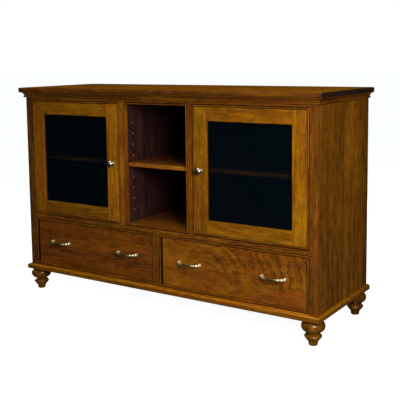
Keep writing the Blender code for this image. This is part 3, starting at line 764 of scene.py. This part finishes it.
def make_pull(node, body):
    """A bow pull: ball ends on round bases, with a long bulb and a bead where the bar leaves each ball."""
    low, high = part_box(node)
    reach = high.y - low.y - 4.6 * MM
    middle = Vector(((low.x + high.x) / 2, high.y, (low.z + high.z) / 2))
    mesh = bmesh.new()
    steps = 72
    points, radii = [], []
    for k in range(steps + 1):
        along = -math.cos(math.pi * k / steps)
        swell = 1 - abs(along) ** 2.4
        out = max(reach * swell ** 0.55, 0.6 * MM)
        points.append(Vector((PULL_HALF_SPACING * along, -out, -1.5 * MM * swell)))
        bulb = math.exp(-((abs(along) - 0.83) / 0.075) ** 4)
        bead = math.exp(-((abs(along) - 0.66) / 0.028) ** 2)
        waist = math.exp(-((abs(along) - 0.715) / 0.026) ** 2)
        radii.append((3.7 + 0.7 * swell + 1.5 * bulb + 0.9 * bead - 0.9 * waist) * MM)
    tube_along(mesh, points, radii)
    for sign in (-1, 1):
        end_x = sign * PULL_HALF_SPACING
        ball = Matrix.Translation((end_x, -7.2 * MM, 0))
        bmesh.ops.create_uvsphere(mesh, u_segments=32, v_segments=20, radius=PULL_BALL_RADIUS, matrix=ball)
        base = Matrix.Translation((end_x, -1.2 * MM, 0)) @ Matrix.Rotation(math.radians(90), 4, "X")
        bmesh.ops.create_cone(mesh, cap_ends=True, segments=36, radius1=PULL_BALL_RADIUS, radius2=6.2 * MM,
                              depth=2.4 * MM, matrix=base)
    bmesh.ops.recalc_face_normals(mesh, faces=mesh.faces[:])
    pull = smooth(new_object(node + "_metal", mesh, middle), angle=40)
    return finish(pull, body, [PULL_METAL], [node])


DRAWER_LOOKS = {"left": {"figure": 0.0, "shade": 0.97, "red": 0.8},
                "right": {"figure": 0.95, "shade": 1.10, "red": 0.0}}


def make_drawers():
    """Each drawer's front, box and two pulls, and the runner under it."""
    for side in ("left", "right"):
        body = f"drawer_{side}"
        board(f"{body}_front", body, "cherry_drawer_front", "drawer", "XZY", radius=1.2 * MM,
              box=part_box(f"{body}_front"), contrast=0.85, **DRAWER_LOOKS[side])
        for part, axes in (("inner_side", "YZX"), ("outer_side", "YZX"), ("back", "XZY"), ("bottom", "XYZ")):
            board(f"{body}_{part}", body, "maple_drawer_box", "maple", axes, gloss=0.5, contrast=0.5)
        board(f"drawer_runner_{side}", "cabinet", "maple_drawer_box", "maple", "YXZ", coat=0.0, gloss=0.6)
        for end in ("left", "right"):
            make_pull(f"{body}_pull_{end}", body)


# ---- Stage, lights and camera ----
def make_stage():
    """White paper: bright to the camera with a faint shadow, and dim in reflections and as a bounce."""
    mesh = bmesh.new()
    bmesh.ops.create_grid(mesh, x_segments=1, y_segments=1, size=40)
    floor = new_object("floor", mesh)
    n = Nodes("floor_paper")
    point = n.add("TexCoord").outputs["Object"]
    paper = n.blend(n.noise(point, 0.6), (0.36, 0.36, 0.36), (0.38, 0.38, 0.38))
    rays = n.add("LightPath").outputs
    paper = n.blend(rays["Is Glossy Ray"], paper, (0.02, 0.02, 0.02))
    n.set(Base_Color=paper, Roughness=1.0, Specular_IOR_Level=0.0)
    n.set(Emission_Color=(1, 1, 1, 1), Emission_Strength=n.math("MULTIPLY", rays["Is Camera Ray"], 0.95))
    floor.data.materials.append(n.material)


def area_light(name, place, aim, size, power):
    """A rectangular lamp that the camera can't see, turned towards a point."""
    light = bpy.data.lights.new(name, "AREA")
    light.shape = "RECTANGLE"
    light.size, light.size_y = size
    light.energy = power
    lamp = bpy.data.objects.new(name, light)
    lamp.location = place
    lamp.rotation_euler = (Vector(aim) - Vector(place)).to_track_quat("-Z", "Y").to_euler()
    lamp.visible_camera = False
    bpy.context.scene.collection.objects.link(lamp)
    return lamp


def make_lights():
    """A soft key from the right, weaker lights round the cabinet, and two that show only as reflections."""
    area_light("key", (1.75, -1.52, 1.25), (0.4, -0.2, 0.45), (0.7, 0.7), 43.5)
    fill = area_light("left", (-1.3, -2.6, 1.9), (0.2, -0.2, 0.5), (0.5, 0.7), 7)
    fill.visible_glossy = False
    area_light("overhead", (0.3, -0.8, 2.8), (0.2, 0, 0), (1.8, 1.2), 27)
    area_light("back", (-0.7, 2.4, 0.5), (0, 0.2, 0.45), (1.0, 0.6), 16)
    area_light("side", (-2.6, 0.4, 0.5), (-0.6, 0.1, 0.45), (0.8, 0.6), 9)
    for name, place, size, power in (("edge_glint", (-0.9, -2.5, 1.7), (1.4, 0.4), 2),
                                     ("metal_glint", (1.95, -2.45, 1.55), (0.8, 0.8), 22)):
        glint = area_light(name, place, (0.4, -0.2, 0.2), size, power)
        glint.visible_diffuse = False


def make_world():
    """White behind the cabinet, a dim cool fill in its shadows, and almost nothing in reflections."""
    world = bpy.data.worlds.new("studio")
    world.use_nodes = True
    tree = world.node_tree
    path = tree.nodes.new("ShaderNodeLightPath")
    level = None
    for ray, colour in (("Is Diffuse Ray", WORLD_FILL), ("Is Camera Ray", (1, 1, 1))):
        mix = tree.nodes.new("ShaderNodeMix")
        mix.data_type = "RGBA"
        mix.inputs[6].default_value = (*(WORLD_IN_REFLECTIONS,) * 3, 1)
        mix.inputs[7].default_value = (*colour, 1)
        if level:
            tree.links.new(level, mix.inputs[6])
        tree.links.new(path.outputs[ray], mix.inputs[0])
        level = mix.outputs[2]
    tree.links.new(level, tree.nodes["Background"].inputs["Color"])
    bpy.context.scene.world = world


def make_camera():
    """To the right of the cabinet and a little above its top, tilted down, with its picture shifted."""
    data = bpy.data.cameras.new("camera")
    data.lens = CAMERA_LENS
    data.sensor_width = 36
    data.shift_y = CAMERA_SHIFT_Y
    level_reach = math.cos(CAMERA_PITCH)
    ahead = Vector((-math.sin(CAMERA_YAW) * level_reach, math.cos(CAMERA_YAW) * level_reach,
                    math.sin(CAMERA_PITCH)))
    level = Vector((math.cos(CAMERA_YAW), math.sin(CAMERA_YAW), 0))
    upright = level.cross(ahead)
    right = level * math.cos(CAMERA_ROLL) + upright * math.sin(CAMERA_ROLL)
    up = upright * math.cos(CAMERA_ROLL) - level * math.sin(CAMERA_ROLL)
    camera = bpy.data.objects.new("camera", data)
    turn = Matrix((right, up, -ahead)).transposed()
    camera.matrix_world = Matrix.Translation(CAMERA_PLACE) @ turn.to_4x4()
    bpy.context.scene.collection.objects.link(camera)
    bpy.context.scene.camera = camera


make_top()
make_case()
make_mouldings()
make_frame_flats()
make_beads()
make_partitions()
make_pin_sleeves()
make_shelf_pins()
make_feet()
make_doors()
make_drawers()
for node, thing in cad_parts.items():
    if node.startswith("hinge_pin"):
        thing.data.materials.clear()
        thing.data.materials.append(DARK_STEEL)
make_stage()
make_lights()
make_world()
make_camera()
bpy.context.scene.view_settings.view_transform = "Standard"
